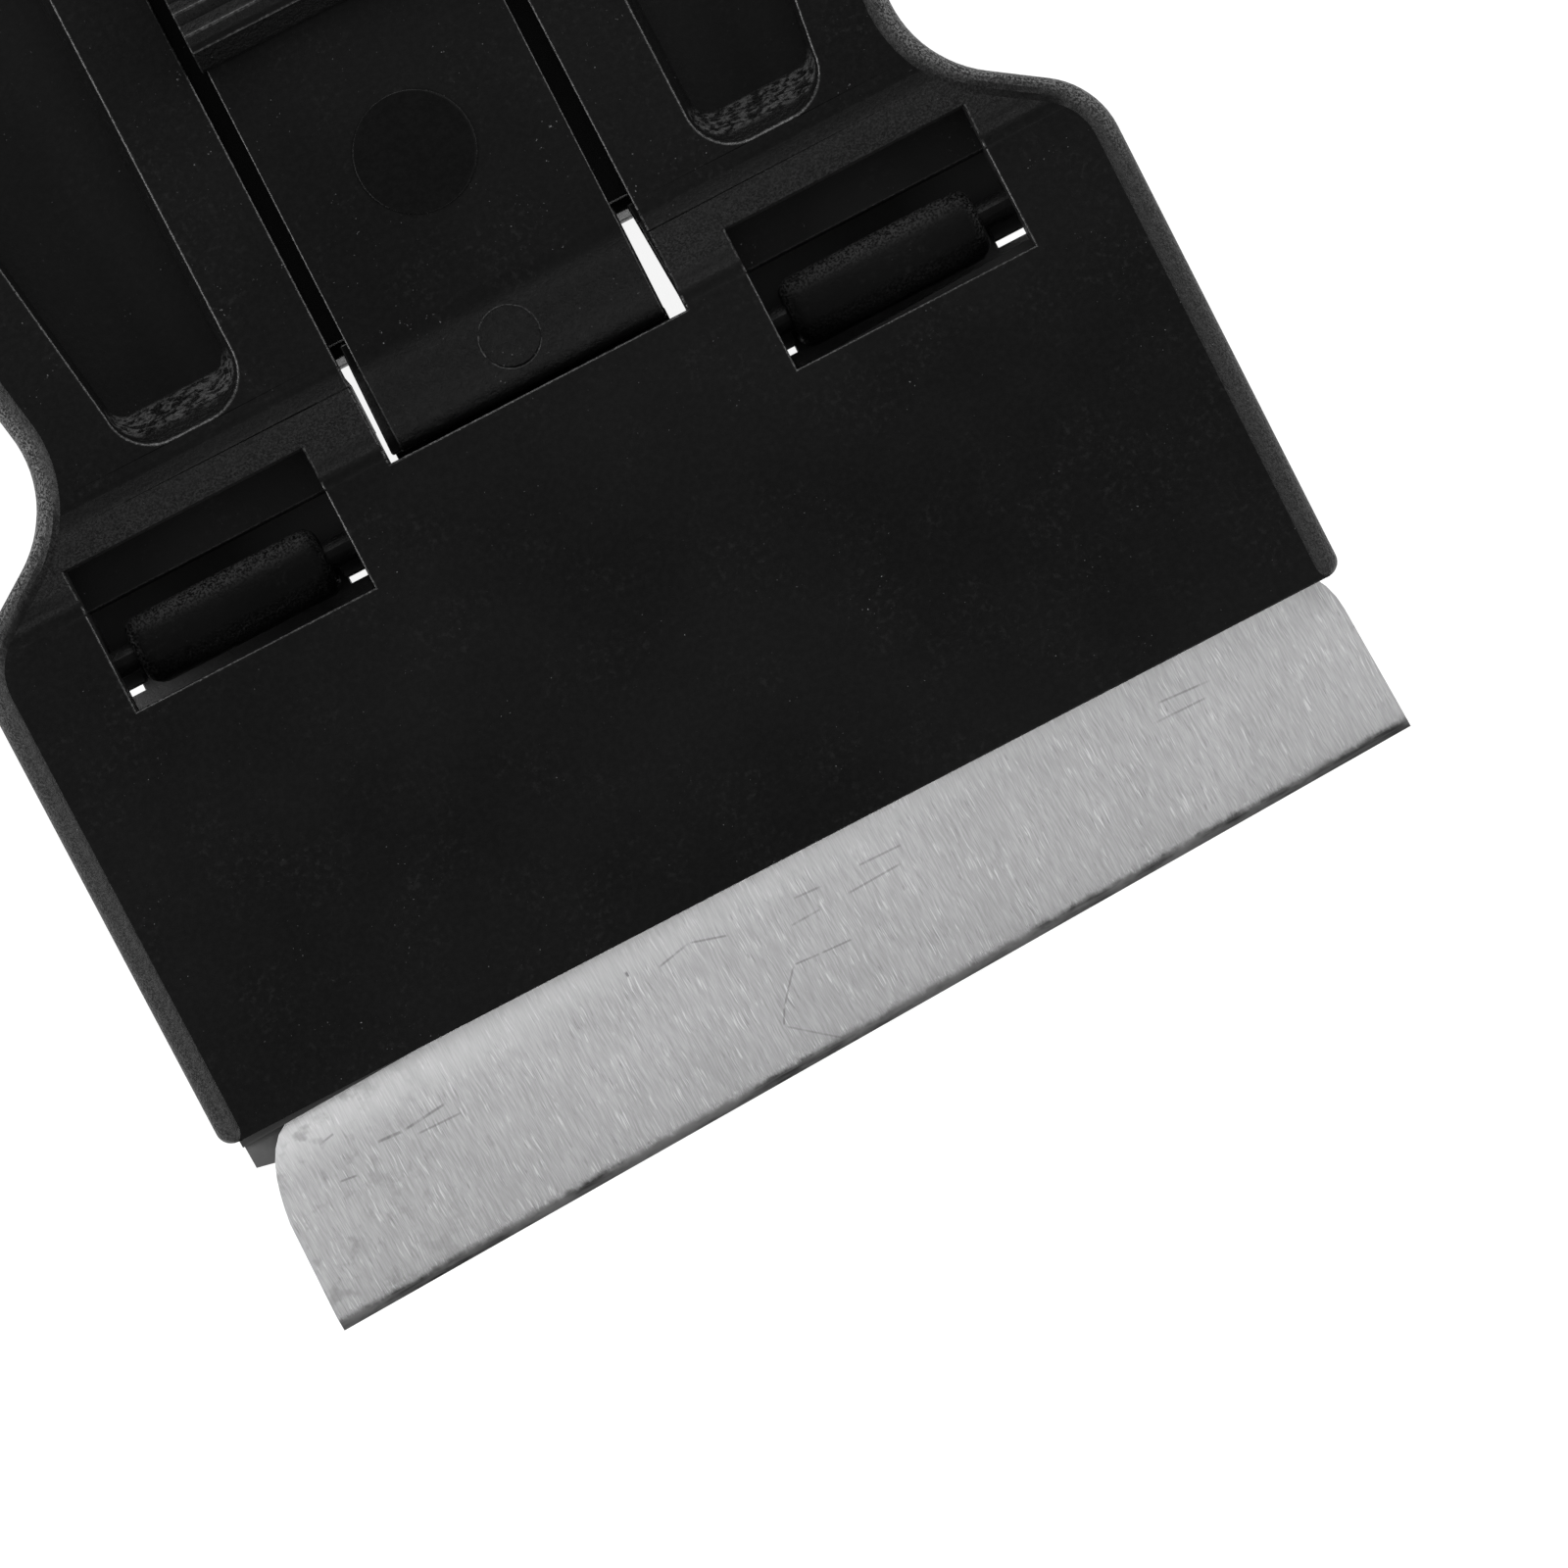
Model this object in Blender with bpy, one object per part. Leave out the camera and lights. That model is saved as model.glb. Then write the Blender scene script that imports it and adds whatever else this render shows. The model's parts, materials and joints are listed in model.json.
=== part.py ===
"""Slide-lock plastic blade scraper, lying face up with its blade towards -Y.

Built in metres, +Z up. Inside the model all lengths are measured from the middle of the head's front lip,
on the plane that the handle lies on. The empty named scraper then shifts the whole tool so that the origin
is the middle of its footprint.
"""
import math

import bmesh
import bpy
from mathutils import Vector

MM = 0.001

# Clearances
GAP = 0.3 * MM              # between pieces that rest on, slide over or pass each other
FIT = 0.15 * MM             # round a pin, stud, screw or blade in its seat
SEAM = 0.03 * MM            # keeps faces of one piece that would coincide apart

# Steel blade: waisted behind its two shoulders
BLADE_WIDTH = 38.1 * MM
BLADE_DEPTH = 15.0 * MM
BLADE_THICKNESS = 0.3 * MM
BLADE_SIDE = 4.2 * MM       # straight end of the blade, from the cutting edge back to the shoulder
SHOULDER_INSET = 2.0 * MM   # waist, inside the blade's ends
SHOULDER_RUN = 2.3 * MM     # length of the rounded shoulder, towards the rear
BLADE_DRAFT = 0.17 * MM     # the blade's left end leans in this much before its flatter shoulder
LEFT_SIDE = 3.7 * MM        # same as the two lengths above, for that end
LEFT_RUN = 2.9 * MM
GRIND = 0.5 * MM            # ground bevel along the cutting edge
EDGE_THICKNESS = 0.06 * MM
BLADE_REACH = 6.3 * MM      # cutting edge in front of the head's lip, at the middle
BLADE_OFFSET = 0.17 * MM    # middle of the cutting edge, to the right of the centre line
BLADE_SKEW = math.radians(2.15)

# Blade holder: moulded tray that the blade is set in
HOLDER_INSET = 0.1 * MM     # holder's ends inside the blade's
HOLDER_THICKNESS = 1.8 * MM
EAR_SETBACK = 5.54 * MM     # front of the holder's two ears, behind the cutting edge
LIP_SETBACK = 0.96 * MM     # front of the holder's upper lip, behind the ears
EAR_CHAMFER = 0.2 * MM      # how far each ear's outer corner is drawn back
HOLDER_WALL = 0.8 * MM      # between the blade's rear edge and the locating notch
HOLDER_TAIL = 1.405 * MM    # from the locating peg's centre to the holder's rear edge
HOLDER_GAP = 0.2 * MM       # between the holder's rear edge and the jaw's hooks
PEG_RADIUS = 1.2 * MM       # locating peg on the jaw

# Hinged lower jaw
JAW_INSET = 0.25 * MM       # jaw's ends inside the holder's
JAW_THICKNESS = 1.8 * MM
JAW_LIFT = 2.4 * MM         # jaw's underside above the plane that the handle lies on
JAW_SETBACK = 0.35 * MM     # jaw's front edge behind the head's lip
JAW_OFFSET = -0.18 * MM     # the jaw sits a little to the left in its hinge
JAW_EDGE = 0.5 * MM         # chamfer along the jaw's underside
HOOK_RADIUS = 1.1 * MM      # outside of the two hooks that grip the axle bars
HOOK_WALL = 0.5 * MM
HOOK_ROUND = 0.45 * MM      # rounding of each hook's ends
HOOK_MARGIN = 0.82 * MM     # window's length beyond the hook, at each end
HOOK_INSET = 0.09 * MM      # middle of each hook, nearer the centre line than the window's
HOOK_END = math.radians(-40)
ROOT_LEFT = 3.78 * MM       # left end of the pad under each hook, from the window's middle
JAW_OVERRUN = 0.1 * MM      # jaw plate's rear edge, behind the front of the hooks
TAIL_INSET = 0.675 * MM     # sides of the tail inside the slider's
TAIL_LENGTH = 13.05 * MM    # from the hinge axis to the end of the tail
OPEN_ANGLE = math.radians(7)
GRIP_GROOVES = 5
GRIP_GROOVE = 0.35 * MM     # depth, and half the width, of each groove under the jaw
GRIP_MARGIN = 5.6 * MM      # from the grooves' ends to the jaw's

# Head
HEAD_MARGIN = 0.55 * MM     # head's sides outside the blade's ends
HEAD_PLATE = 2.4 * MM
HEAD_DROP = 1.6 * MM        # head's top below the handle's top
LIP_TAPER = 0.13 * MM       # each side of the head draws in this much at the lip
LIP_CORNER = 0.5 * MM
LIP_REACH = 0.27 * MM       # head's front edge, ahead of the lip line that lengths are measured from
SHOULDER_RADIUS = 2.7 * MM
SHOULDER_TURN = math.radians(57)
EDGE_RADIUS = 1.1 * MM      # rounding of the upper side edges
EDGE_CREASE = math.radians(17)  # angle at which that rounding meets the top
WINDOW_LENGTH = 8.27 * MM
WINDOW_DEPTH = 4.85 * MM
WINDOW_SPREAD = 22.92 * MM  # between the middles of the two windows
WINDOW_LEAD = 0.5 * MM      # from a window's front edge to the hook in it
WINDOW_SLIT = 0.19 * MM     # open slit between the jaw and the floor beside each hook
LEDGE_LENGTH = 1.42 * MM    # ledge along a window's rear edge
LEDGE_DEPTH = 1.4 * MM
CREST_DEPTH = 0.7 * MM      # top of a hook below the head's top
AXLE_PLAY = 0.15 * MM
AXLE_HOLD = 0.6 * MM        # length of each end of an axle bar that is held in the head
OPENING_LEAD = 1.67 * MM    # slider's opening starts this far ahead of the windows' rear edges

# Handle
BODY_LENGTH = 104 * MM
NECK_WIDTH = 30.1 * MM
NECK_RADIUS = 3.7 * MM
NECK_FLARE = math.radians(11)
HANDLE_WIDTH = 33.6 * MM
HANDLE_WIDEST = 52 * MM     # from the lip
END_WIDTH = 28.4 * MM
END_ROUND = 11 * MM
DECK = 1.6 * MM
FLOOR = 1.6 * MM
WALL = 1.2 * MM
FOOT_RADIUS = 1.4 * MM      # rounding of the lower side edges
BEVEL_LENGTH = 3.4 * MM     # slope between head and handle
RIM = 2.85 * MM             # handle's edge outside the side recesses
RECESS_DEPTH = 1.8 * MM
RECESS_SKIN = 1.4 * MM
RECESS_RAMP = 1.35 * MM     # run of the slope at the recess's front end
RECESS_DRAFT = 0.34 * MM    # run of its inner wall
RECESS_CORNER = 1.5 * MM
FLOOR_CORNER = 0.55 * MM    # the same corner at the recess's floor
RECESS_END = 16 * MM        # from the recess's rear end to the end of the handle
HANG_HOLE_RADIUS = 3.3 * MM
HANG_HOLE_INSET = 8.5 * MM

# Slider and wedge
STRIP_WIDTH = 9.15 * MM
STRIP_GAP = 0.59 * MM       # on each side of the strip
STRIP_LENGTH = 30.65 * MM
STRIP_NOSE = 0.7 * MM       # rounding of the strip's front end
SKIRT_DROP = 0.5 * MM       # strip's lower skirt, below its top
SKIRT_LEFT = 0.22 * MM      # skirt outside the strip's left edge
SKIRT_RIGHT = 0.05 * MM     # skirt outside the strip's right edge
SKIRT_TAPER = 0.11 * MM     # the skirt widens this much to the left, towards the front
SIDE_WEDGE = 0.2 * MM       # how far the opening's right side stands in at the rear of the slope
STRIP_TURN = math.radians(-0.3)
TRAVEL = 9 * MM
PAD_START = 13.05 * MM      # from the strip's front end
PAD_HEIGHT = 1.3 * MM
PAD_SLOPE = 0.75 * MM
PAD_STEPS = 3               # fine steps up the pad's front
PAD_REACH = 0.14 * MM       # pad outside the strip's edges
RIB_PITCH = 0.76 * MM
RIB_HEIGHT = 0.24 * MM
PAD_MARGIN = 0.8 * MM       # plain strip behind the pad
DISC_RADIUS = 1.93 * MM     # faintly raised round mark over the stud
DISC_RISE = 0.05 * MM
DISC_SETBACK = 7.95 * MM    # disc's centre, from the strip's front end
STUD_RADIUS = 1.6 * MM
STUD_SKIN = 0.6 * MM        # strip's thickness left over the stud
GATE_RADIUS = 0.94 * MM
GATE_SETBACK = 1.6 * MM
GATE_DEPTH = 0.08 * MM
FLANGE = 1.2 * MM           # shoe's reach under each edge of the slot
FLANGE_THICKNESS = 1.5 * MM
SHOE_LENGTH = 23 * MM
RAMP_LENGTH = 7.4 * MM
RAMP_EASE = 1.15            # the wedge rises this much faster than the tail

# Screws
SCREW_RADIUS = 1.15 * MM
SCREW_LENGTH = 6.2 * MM
SCREW_HEAD_RADIUS = 2.2 * MM
SCREW_HEAD_HEIGHT = 1.2 * MM
SCREW_SUNK = 0.5 * MM
REAR_SCREW_LEAD = 14.2 * MM # rear screw, ahead of the hang hole's centre

# Widths
HEAD_WIDTH = BLADE_WIDTH + 2 * HEAD_MARGIN
HOLDER_WIDTH = BLADE_WIDTH - 2 * HOLDER_INSET
JAW_WIDTH = HOLDER_WIDTH - 2 * JAW_INSET
HOOK_WIDTH = WINDOW_LENGTH - 2 * HOOK_MARGIN
HOOK_SPREAD = WINDOW_SPREAD - 2 * HOOK_INSET
TAIL_WIDTH = STRIP_WIDTH - 2 * TAIL_INSET
TAIL_ROOT_RIGHT = STRIP_WIDTH / 2 + SEAM
TAIL_ROOT_LEFT = TAIL_ROOT_RIGHT + SKIRT_LEFT + SKIRT_TAPER

# Heights, from the plane that the handle lies on
JAW_TOP = JAW_LIFT + JAW_THICKNESS
HOLDER_FLOOR = JAW_TOP + GAP
HOLDER_TOP = HOLDER_FLOOR + HOLDER_THICKNESS
HEAD_UNDER = HOLDER_TOP + GAP
HEAD_TOP = HEAD_UNDER + HEAD_PLATE
HANDLE_TOP = HEAD_TOP + HEAD_DROP
BLADE_UNDER = HOLDER_FLOOR + (HOLDER_THICKNESS - BLADE_THICKNESS) / 2
AXLE_Z = HEAD_TOP - CREST_DEPTH - HOOK_RADIUS
SHELF_TOP = AXLE_Z - HOOK_RADIUS - 2 * GAP
LEDGE_TOP = HEAD_TOP - LEDGE_DEPTH
DECK_UNDER = HANDLE_TOP - DECK
SHOE_TOP = DECK_UNDER - GAP
FLANGE_UNDER = SHOE_TOP - FLANGE_THICKNESS
CHANNEL_FLOOR = min(FLOOR, JAW_LIFT - GAP)
TOP_SHELL_UNDER = JAW_TOP + GAP / 2
BOTTOM_SHELL_TOP = JAW_TOP - GAP / 2

# Places along the tool, from the lip
BLADE_REAR = BLADE_DEPTH - BLADE_REACH
PEG_MISS = BLADE_OFFSET - JAW_OFFSET - math.sin(BLADE_SKEW) * (BLADE_DEPTH + HOLDER_WALL + PEG_RADIUS)
NOTCH_RADIUS = PEG_RADIUS + FIT + abs(PEG_MISS)
PEG_Y = BLADE_REAR + FIT + HOLDER_WALL + NOTCH_RADIUS
HOLDER_REAR = PEG_Y + HOLDER_TAIL
HOOK_REACH = HOOK_SPREAD / 2 + HOOK_WIDTH / 2
HOOK_FRONT = HOLDER_REAR + abs(math.tan(BLADE_SKEW)) * HOOK_REACH + HOLDER_GAP
AXLE_Y = HOOK_FRONT + HOOK_RADIUS
JAW_REAR = HOOK_FRONT + JAW_OVERRUN
WINDOW_FRONT = HOOK_FRONT - WINDOW_LEAD
WINDOW_REAR = WINDOW_FRONT + WINDOW_DEPTH
AXLE_RADIUS = HOOK_RADIUS - HOOK_WALL - AXLE_PLAY
SHELF_FRONT = AXLE_Y + AXLE_RADIUS / 2
FLOOR_FRONT = JAW_REAR + WINDOW_SLIT
LEDGE_FRONT = WINDOW_REAR - LEDGE_LENGTH
OPENING_FRONT = WINDOW_REAR - OPENING_LEAD
BEVEL_START = OPENING_FRONT + FIT
BEVEL_END = BEVEL_START + BEVEL_LENGTH
HEAD_SIDE = WINDOW_REAR - SHOULDER_RADIUS
SHELL_FRONT = BEVEL_END + FIT
RECESS_FRONT = SHELL_FRONT
STRIP_FRONT = OPENING_FRONT + FIT
STRIP_REAR = STRIP_FRONT + STRIP_LENGTH
TAIL_END = AXLE_Y + TAIL_LENGTH
SHOE_FRONT = max(TAIL_END - RAMP_LENGTH, SHELL_FRONT + GAP)
RAMP_RUN = TAIL_END - SHOE_FRONT
SLOT_END = STRIP_REAR + TRAVEL + STRIP_GAP
CHANNEL_END = max(SLOT_END, SHOE_FRONT + SHOE_LENGTH + TRAVEL) + WALL
RECESS_REAR = BODY_LENGTH - RECESS_END
HANG_HOLE_Y = BODY_LENGTH - HANG_HOLE_INSET
SCREW_PLACES = (CHANNEL_END + SCREW_HEAD_RADIUS + 2 * WALL, HANG_HOLE_Y - REAR_SCREW_LEAD)

# Places across the tool, from the centre line
STRIP_HALF = STRIP_WIDTH / 2
OPENING_HALF = STRIP_HALF + STRIP_GAP
SHOE_HALF = OPENING_HALF + FLANGE
CHANNEL_HALF = SHOE_HALF + GAP
RECESS_INNER = CHANNEL_HALF + WALL
RAIL_INNER = TAIL_WIDTH / 2 + GAP + FIT
RAIL_OUTER = OPENING_HALF + FLANGE / 2
WEDGE_HALF = RAIL_INNER - GAP

# How far the jaw turns for each metre that the slider moves back
OPEN_RATE = OPEN_ANGLE / TRAVEL
RAMP_RISE = TAIL_LENGTH * OPEN_RATE * RAMP_RUN * RAMP_EASE

BEYOND = 3 * MM             # how far a cutter runs past the face it opens
FOOTPRINT_FRONT = -BLADE_REACH - math.sin(BLADE_SKEW) * BLADE_WIDTH / 2
FOOTPRINT_MIDDLE = (FOOTPRINT_FRONT + BODY_LENGTH) / 2


def arc(x, y, radius, start, end, steps):
    """Points on a circle round x, y from angle start to angle end, in degrees."""
    turns = (math.radians(start + (end - start) * k / steps) for k in range(steps + 1))
    return [(x + radius * math.cos(a), y + radius * math.sin(a)) for a in turns]


def bezier(p0, p1, p2, p3, steps):
    """Points on a cubic curve after its first point."""
    points = []
    for k in range(1, steps + 1):
        t = k / steps
        a, b, c, d = (1 - t) ** 3, 3 * t * (1 - t) ** 2, 3 * t * t * (1 - t), t ** 3
        points.append(tuple(a * p0[i] + b * p1[i] + c * p2[i] + d * p3[i] for i in (0, 1)))
    return points


def top_height(y):
    """Height of the upper face: head, soft slope, handle."""
    t = min(1, max(0, (y - BEVEL_START) / BEVEL_LENGTH))
    return HEAD_TOP + HEAD_DROP * t * t * (3 - 2 * t)


def half_outline():
    """Right half of the body's outline from above, from the lip to the end of the handle."""
    lip_half = HEAD_WIDTH / 2 - LIP_TAPER
    points = arc(lip_half - LIP_CORNER, LIP_CORNER - LIP_REACH, LIP_CORNER, -90, 0, 7)
    turn = SHOULDER_TURN
    step = (HEAD_WIDTH - NECK_WIDTH) / 2
    share = min(1, 0.95 * step / ((SHOULDER_RADIUS + NECK_RADIUS) * (1 - math.cos(turn))))
    shoulder, neck = SHOULDER_RADIUS * share, NECK_RADIUS * share
    slope = (step - (shoulder + neck) * (1 - math.cos(turn))) / math.sin(turn)
    points += arc(HEAD_WIDTH / 2 - shoulder, HEAD_SIDE, shoulder, 0, math.degrees(turn), 10)
    x, y = points[-1]
    x += neck * math.cos(turn) - slope * math.sin(turn)
    y += neck * math.sin(turn) + slope * math.cos(turn)
    flare = math.degrees(NECK_FLARE)
    points += arc(x, y, neck, 180 + math.degrees(turn), 180 - flare, 14)
    start = points[-1]
    widest = (HANDLE_WIDTH / 2, HANDLE_WIDEST)
    end = (END_WIDTH / 2, BODY_LENGTH - END_ROUND)
    reach = (widest[1] - start[1]) / 3
    lead = (start[0] + reach * math.tan(NECK_FLARE), start[1] + reach)
    points += bezier(start, lead, (widest[0], widest[1] - reach), widest, 8)
    reach = (end[1] - widest[1]) / 3
    trail = (end[0] + reach / 12, end[1] - reach)
    points += bezier(widest, (widest[0], widest[1] + reach), trail, end, 8)
    points += [(x * END_WIDTH / 2, end[1] + y * END_ROUND) for x, y in arc(0, 0, 1, 0, 90, 9)[1:-1]]
    points.append((0, BODY_LENGTH))
    return points


def crossings(points, stations):
    """Where stations along Y cut an outline, as pairs of a segment and a share of its length."""
    found = []
    for station in stations:
        for k, ((x0, y0), (x1, y1)) in enumerate(zip(points, points[1:])):
            if y0 < station < y1:
                found.append((k, (station - y0) / (y1 - y0)))
    return found


def refine(points, places):
    """The same outline with a point added at each crossing."""
    result = []
    for k, (start, end) in enumerate(zip(points, points[1:])):
        result.append(start)
        for segment, share in places:
            if segment == k:
                result.append(tuple(a + share * (b - a) for a, b in zip(start, end)))
    return result + [points[-1]]


def outline_half(y):
    """Half the body's width at a distance behind the lip."""
    points = half_outline()
    for (x0, y0), (x1, y1) in zip(points, points[1:]):
        if y0 <= y <= y1 and y1 > y0:
            return x0 + (x1 - x0) * (y - y0) / (y1 - y0)
    return points[-1][0]


def inset(points, amount, square_until):
    """Half outline drawn in by amount; ahead of square_until it only draws in sideways."""
    normals = []
    for (x0, y0), (x1, y1) in zip(points, points[1:]):
        normals.append(Vector((y1 - y0, x0 - x1)).normalized())
    result = []
    for k, (x, y) in enumerate(points):
        before, after = normals[max(k - 1, 0)], normals[min(k, len(normals) - 1)]
        corner = (before + after).normalized()
        corner /= corner.dot(before)
        if k == len(points) - 1 and x == 0:
            result.append((0, y - amount))
        elif y < square_until:
            result.append((x - amount * min(corner.x, 1), y))
        else:
            result.append((x - amount * corner.x, y - amount * corner.y))
    return result


def rounding(radius, steps=6, crease=0.0):
    """Pairs of how far in and how far short of the face, for a rounded edge that meets it at an angle."""
    angles = ((math.pi / 2 - crease) * k / steps for k in range(steps + 1))
    return [(radius * (1 - math.cos(a)), radius * (math.cos(crease) - math.sin(a))) for a in angles]


def slab(outline, layers, square_until, stations=()):
    """Closed mirrored solid through layers of (inset, height function), lowest first."""
    mesh = bmesh.new()
    rings = []
    places = crossings(outline, stations)
    for amount, height in layers:
        side = refine(inset(outline, amount, square_until), places)
        right = [mesh.verts.new((x, y, height(y))) for x, y in side]
        left = [v if x == 0 else mesh.verts.new((-x, y, height(y))) for v, (x, y) in zip(right, side)]
        rings.append((right, left))
    for (right, left), (right_up, left_up) in zip(rings, rings[1:]):
        for k in range(len(right) - 1):
            mesh.faces.new((right[k], right[k + 1], right_up[k + 1], right_up[k]))
            mesh.faces.new((left[k + 1], left[k], left_up[k], left_up[k + 1]))
        mesh.faces.new((left[0], right[0], right_up[0], left_up[0]))
        if right[-1] is not left[-1]:
            mesh.faces.new((right[-1], left[-1], left_up[-1], right_up[-1]))
    for (right, left), upward in ((rings[0], False), (rings[-1], True)):
        for k in range(len(right) - 1):
            corners = [left[k], right[k], right[k + 1], left[k + 1]]
            corners = list(dict.fromkeys(corners if upward else reversed(corners)))
            mesh.faces.new(corners)
    return mesh


def loft(sections):
    """Closed solid through loops of points with equal counts, lowest or first loop first."""
    mesh = bmesh.new()
    rings = [[mesh.verts.new(p) for p in section] for section in sections]
    count = len(rings[0])
    for lower, upper in zip(rings, rings[1:]):
        for k in range(count):
            n = (k + 1) % count
            mesh.faces.new((lower[k], lower[n], upper[n], upper[k]))
    mesh.faces.new(list(reversed(rings[0])))
    mesh.faces.new(rings[-1])
    bmesh.ops.recalc_face_normals(mesh, faces=mesh.faces)
    return mesh


def plate(points, low, high):
    """Outline in X and Y, extruded from height low to height high."""
    return loft([[(x, y, z) for x, y in points] for z in (low, high)])


def profile(points, left, right):
    """Side view in Y and Z, extruded across from left to right."""
    return loft([[(x, y, z) for y, z in points] for x in (left, right)])


def box(low, high):
    """Box between two corners."""
    (x0, y0, z0), (x1, y1, z1) = low, high
    return plate([(x0, y0), (x1, y0), (x1, y1), (x0, y1)], z0, z1)


def drum(x, y, radius, low, high, sides=32):
    """Upright cylinder."""
    return plate(arc(x, y, radius, 0, 360 - 360 / sides, sides - 1), low, high)


def bar(y, z, radius, left, right, sides=24):
    """Cylinder lying across the tool."""
    return profile(arc(y, z, radius, 0, 360 - 360 / sides, sides - 1), left, right)


def place(name, mesh, parent, material=None):
    """Object from a bmesh, smooth where its faces meet gently."""
    data = bpy.data.meshes.new(name)
    mesh.to_mesh(data)
    mesh.free()
    data.shade_smooth()
    data.set_sharp_from_angle(angle=math.radians(32))
    if material:
        data.materials.append(material)
    thing = bpy.data.objects.new(name, data)
    bpy.context.scene.collection.objects.link(thing)
    thing.parent = parent
    return thing


def alter(target, label, mesh, operation):
    """Cut a shape from a piece, or join one to it, with a Boolean modifier."""
    tool = place(f"{target.name}_{label}", mesh, target.parent)
    tool.hide_render = True
    tool.display_type = "WIRE"
    change = target.modifiers.new(label, "BOOLEAN")
    change.operation = operation
    change.object = tool


def cut(target, label, mesh):
    alter(target, label, mesh, "DIFFERENCE")


def join(target, label, mesh):
    alter(target, label, mesh, "UNION")


def finish(name, colour, roughness, metallic=0.0):
    """Plain Principled material."""
    material = bpy.data.materials.new(name)
    material.use_nodes = True
    shader = material.node_tree.nodes["Principled BSDF"]
    shader.inputs["Base Color"].default_value = (*colour, 1)
    shader.inputs["Roughness"].default_value = roughness
    shader.inputs["Metallic"].default_value = metallic
    return material


def axis(name, location, parent=None, turn=0.0):
    """Empty at a group's own origin."""
    empty = bpy.data.objects.new(name, None)
    bpy.context.scene.collection.objects.link(empty)
    empty.location = location
    empty.rotation_euler.z = turn
    empty.empty_display_size = 5 * MM
    empty.parent = parent
    return empty


def joint_group(name, pivot, parent, turn=0.0):
    """Empty on a joint's axis; the empty inside it lets pieces keep the distances from the lip."""
    joint = axis(f"{name}_axis", pivot, parent, turn)
    return axis(f"{name}_pieces", -Vector(pivot), joint)


def mirrored(points, side):
    """The same outline on the right (side 1) or the left (side -1)."""
    return [(side * x, y) for x, y in points]


def recess_outline(front_margin=0.0, side_margin=0.0, outer_margin=0.0, rounding_radius=RECESS_CORNER):
    """Right-hand side recess from above, drawn in by margins at its ends, inner side and outer side."""
    front, rear = RECESS_FRONT + front_margin, RECESS_REAR - side_margin
    inner = RECESS_INNER + side_margin

    def outer(y):
        return outline_half(max(y, RECESS_FRONT + RECESS_CORNER)) - RIM - outer_margin

    corner = min(rounding_radius, 0.45 * (outer(front) - inner))
    points = arc(inner + corner, front + corner, corner, 180, 270, 10)
    points += arc(outer(front) - corner, front + corner, corner, 270, 360, 10)
    runs = 10
    for k in range(1, runs):
        y = front + corner + (rear - front - 2 * corner) * k / runs
        points.append((outer(y), y))
    corner = min(rounding_radius, 0.45 * (outer(rear) - inner))
    points += arc(outer(rear) - corner, rear - corner, corner, 0, 90, 5)
    points += arc(inner + corner, rear - corner, corner, 90, 180, 5)
    return points


def pocket_outline():
    """Hollow under a side recess, from above."""
    return recess_outline(WALL / 2, WALL / 2, WALL / 2)


def recess_cutter(side):
    """Side recess with a sloped front end, a drafted inner wall and a flat floor."""
    rim = recess_outline()
    floor = recess_outline(RECESS_RAMP, RECESS_DRAFT, RECESS_DRAFT / 4, FLOOR_CORNER)
    levels = ((rim, HANDLE_TOP + BEYOND), (rim, HANDLE_TOP), (floor, HANDLE_TOP - RECESS_DEPTH))
    return loft([[(side * x, y, z) for x, y in outline] for outline, z in levels])


def side_wedge():
    """Narrow wedge under the right edge of the slider's opening, along the slope."""
    steps = 6
    sections = []
    for k in range(steps + 1):
        y = OPENING_FRONT - SEAM + (BEVEL_LENGTH + GAP) * k / steps
        inner, outer = OPENING_HALF - SIDE_WEDGE * k / steps, OPENING_HALF + 2 * SEAM
        low, high = top_height(y) - DECK + FIT, top_height(y) - SKIRT_DROP
        sections.append([(inner, y, low), (outer, y, low), (outer, y, high), (inner, y, high)])
    return loft(sections)


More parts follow.
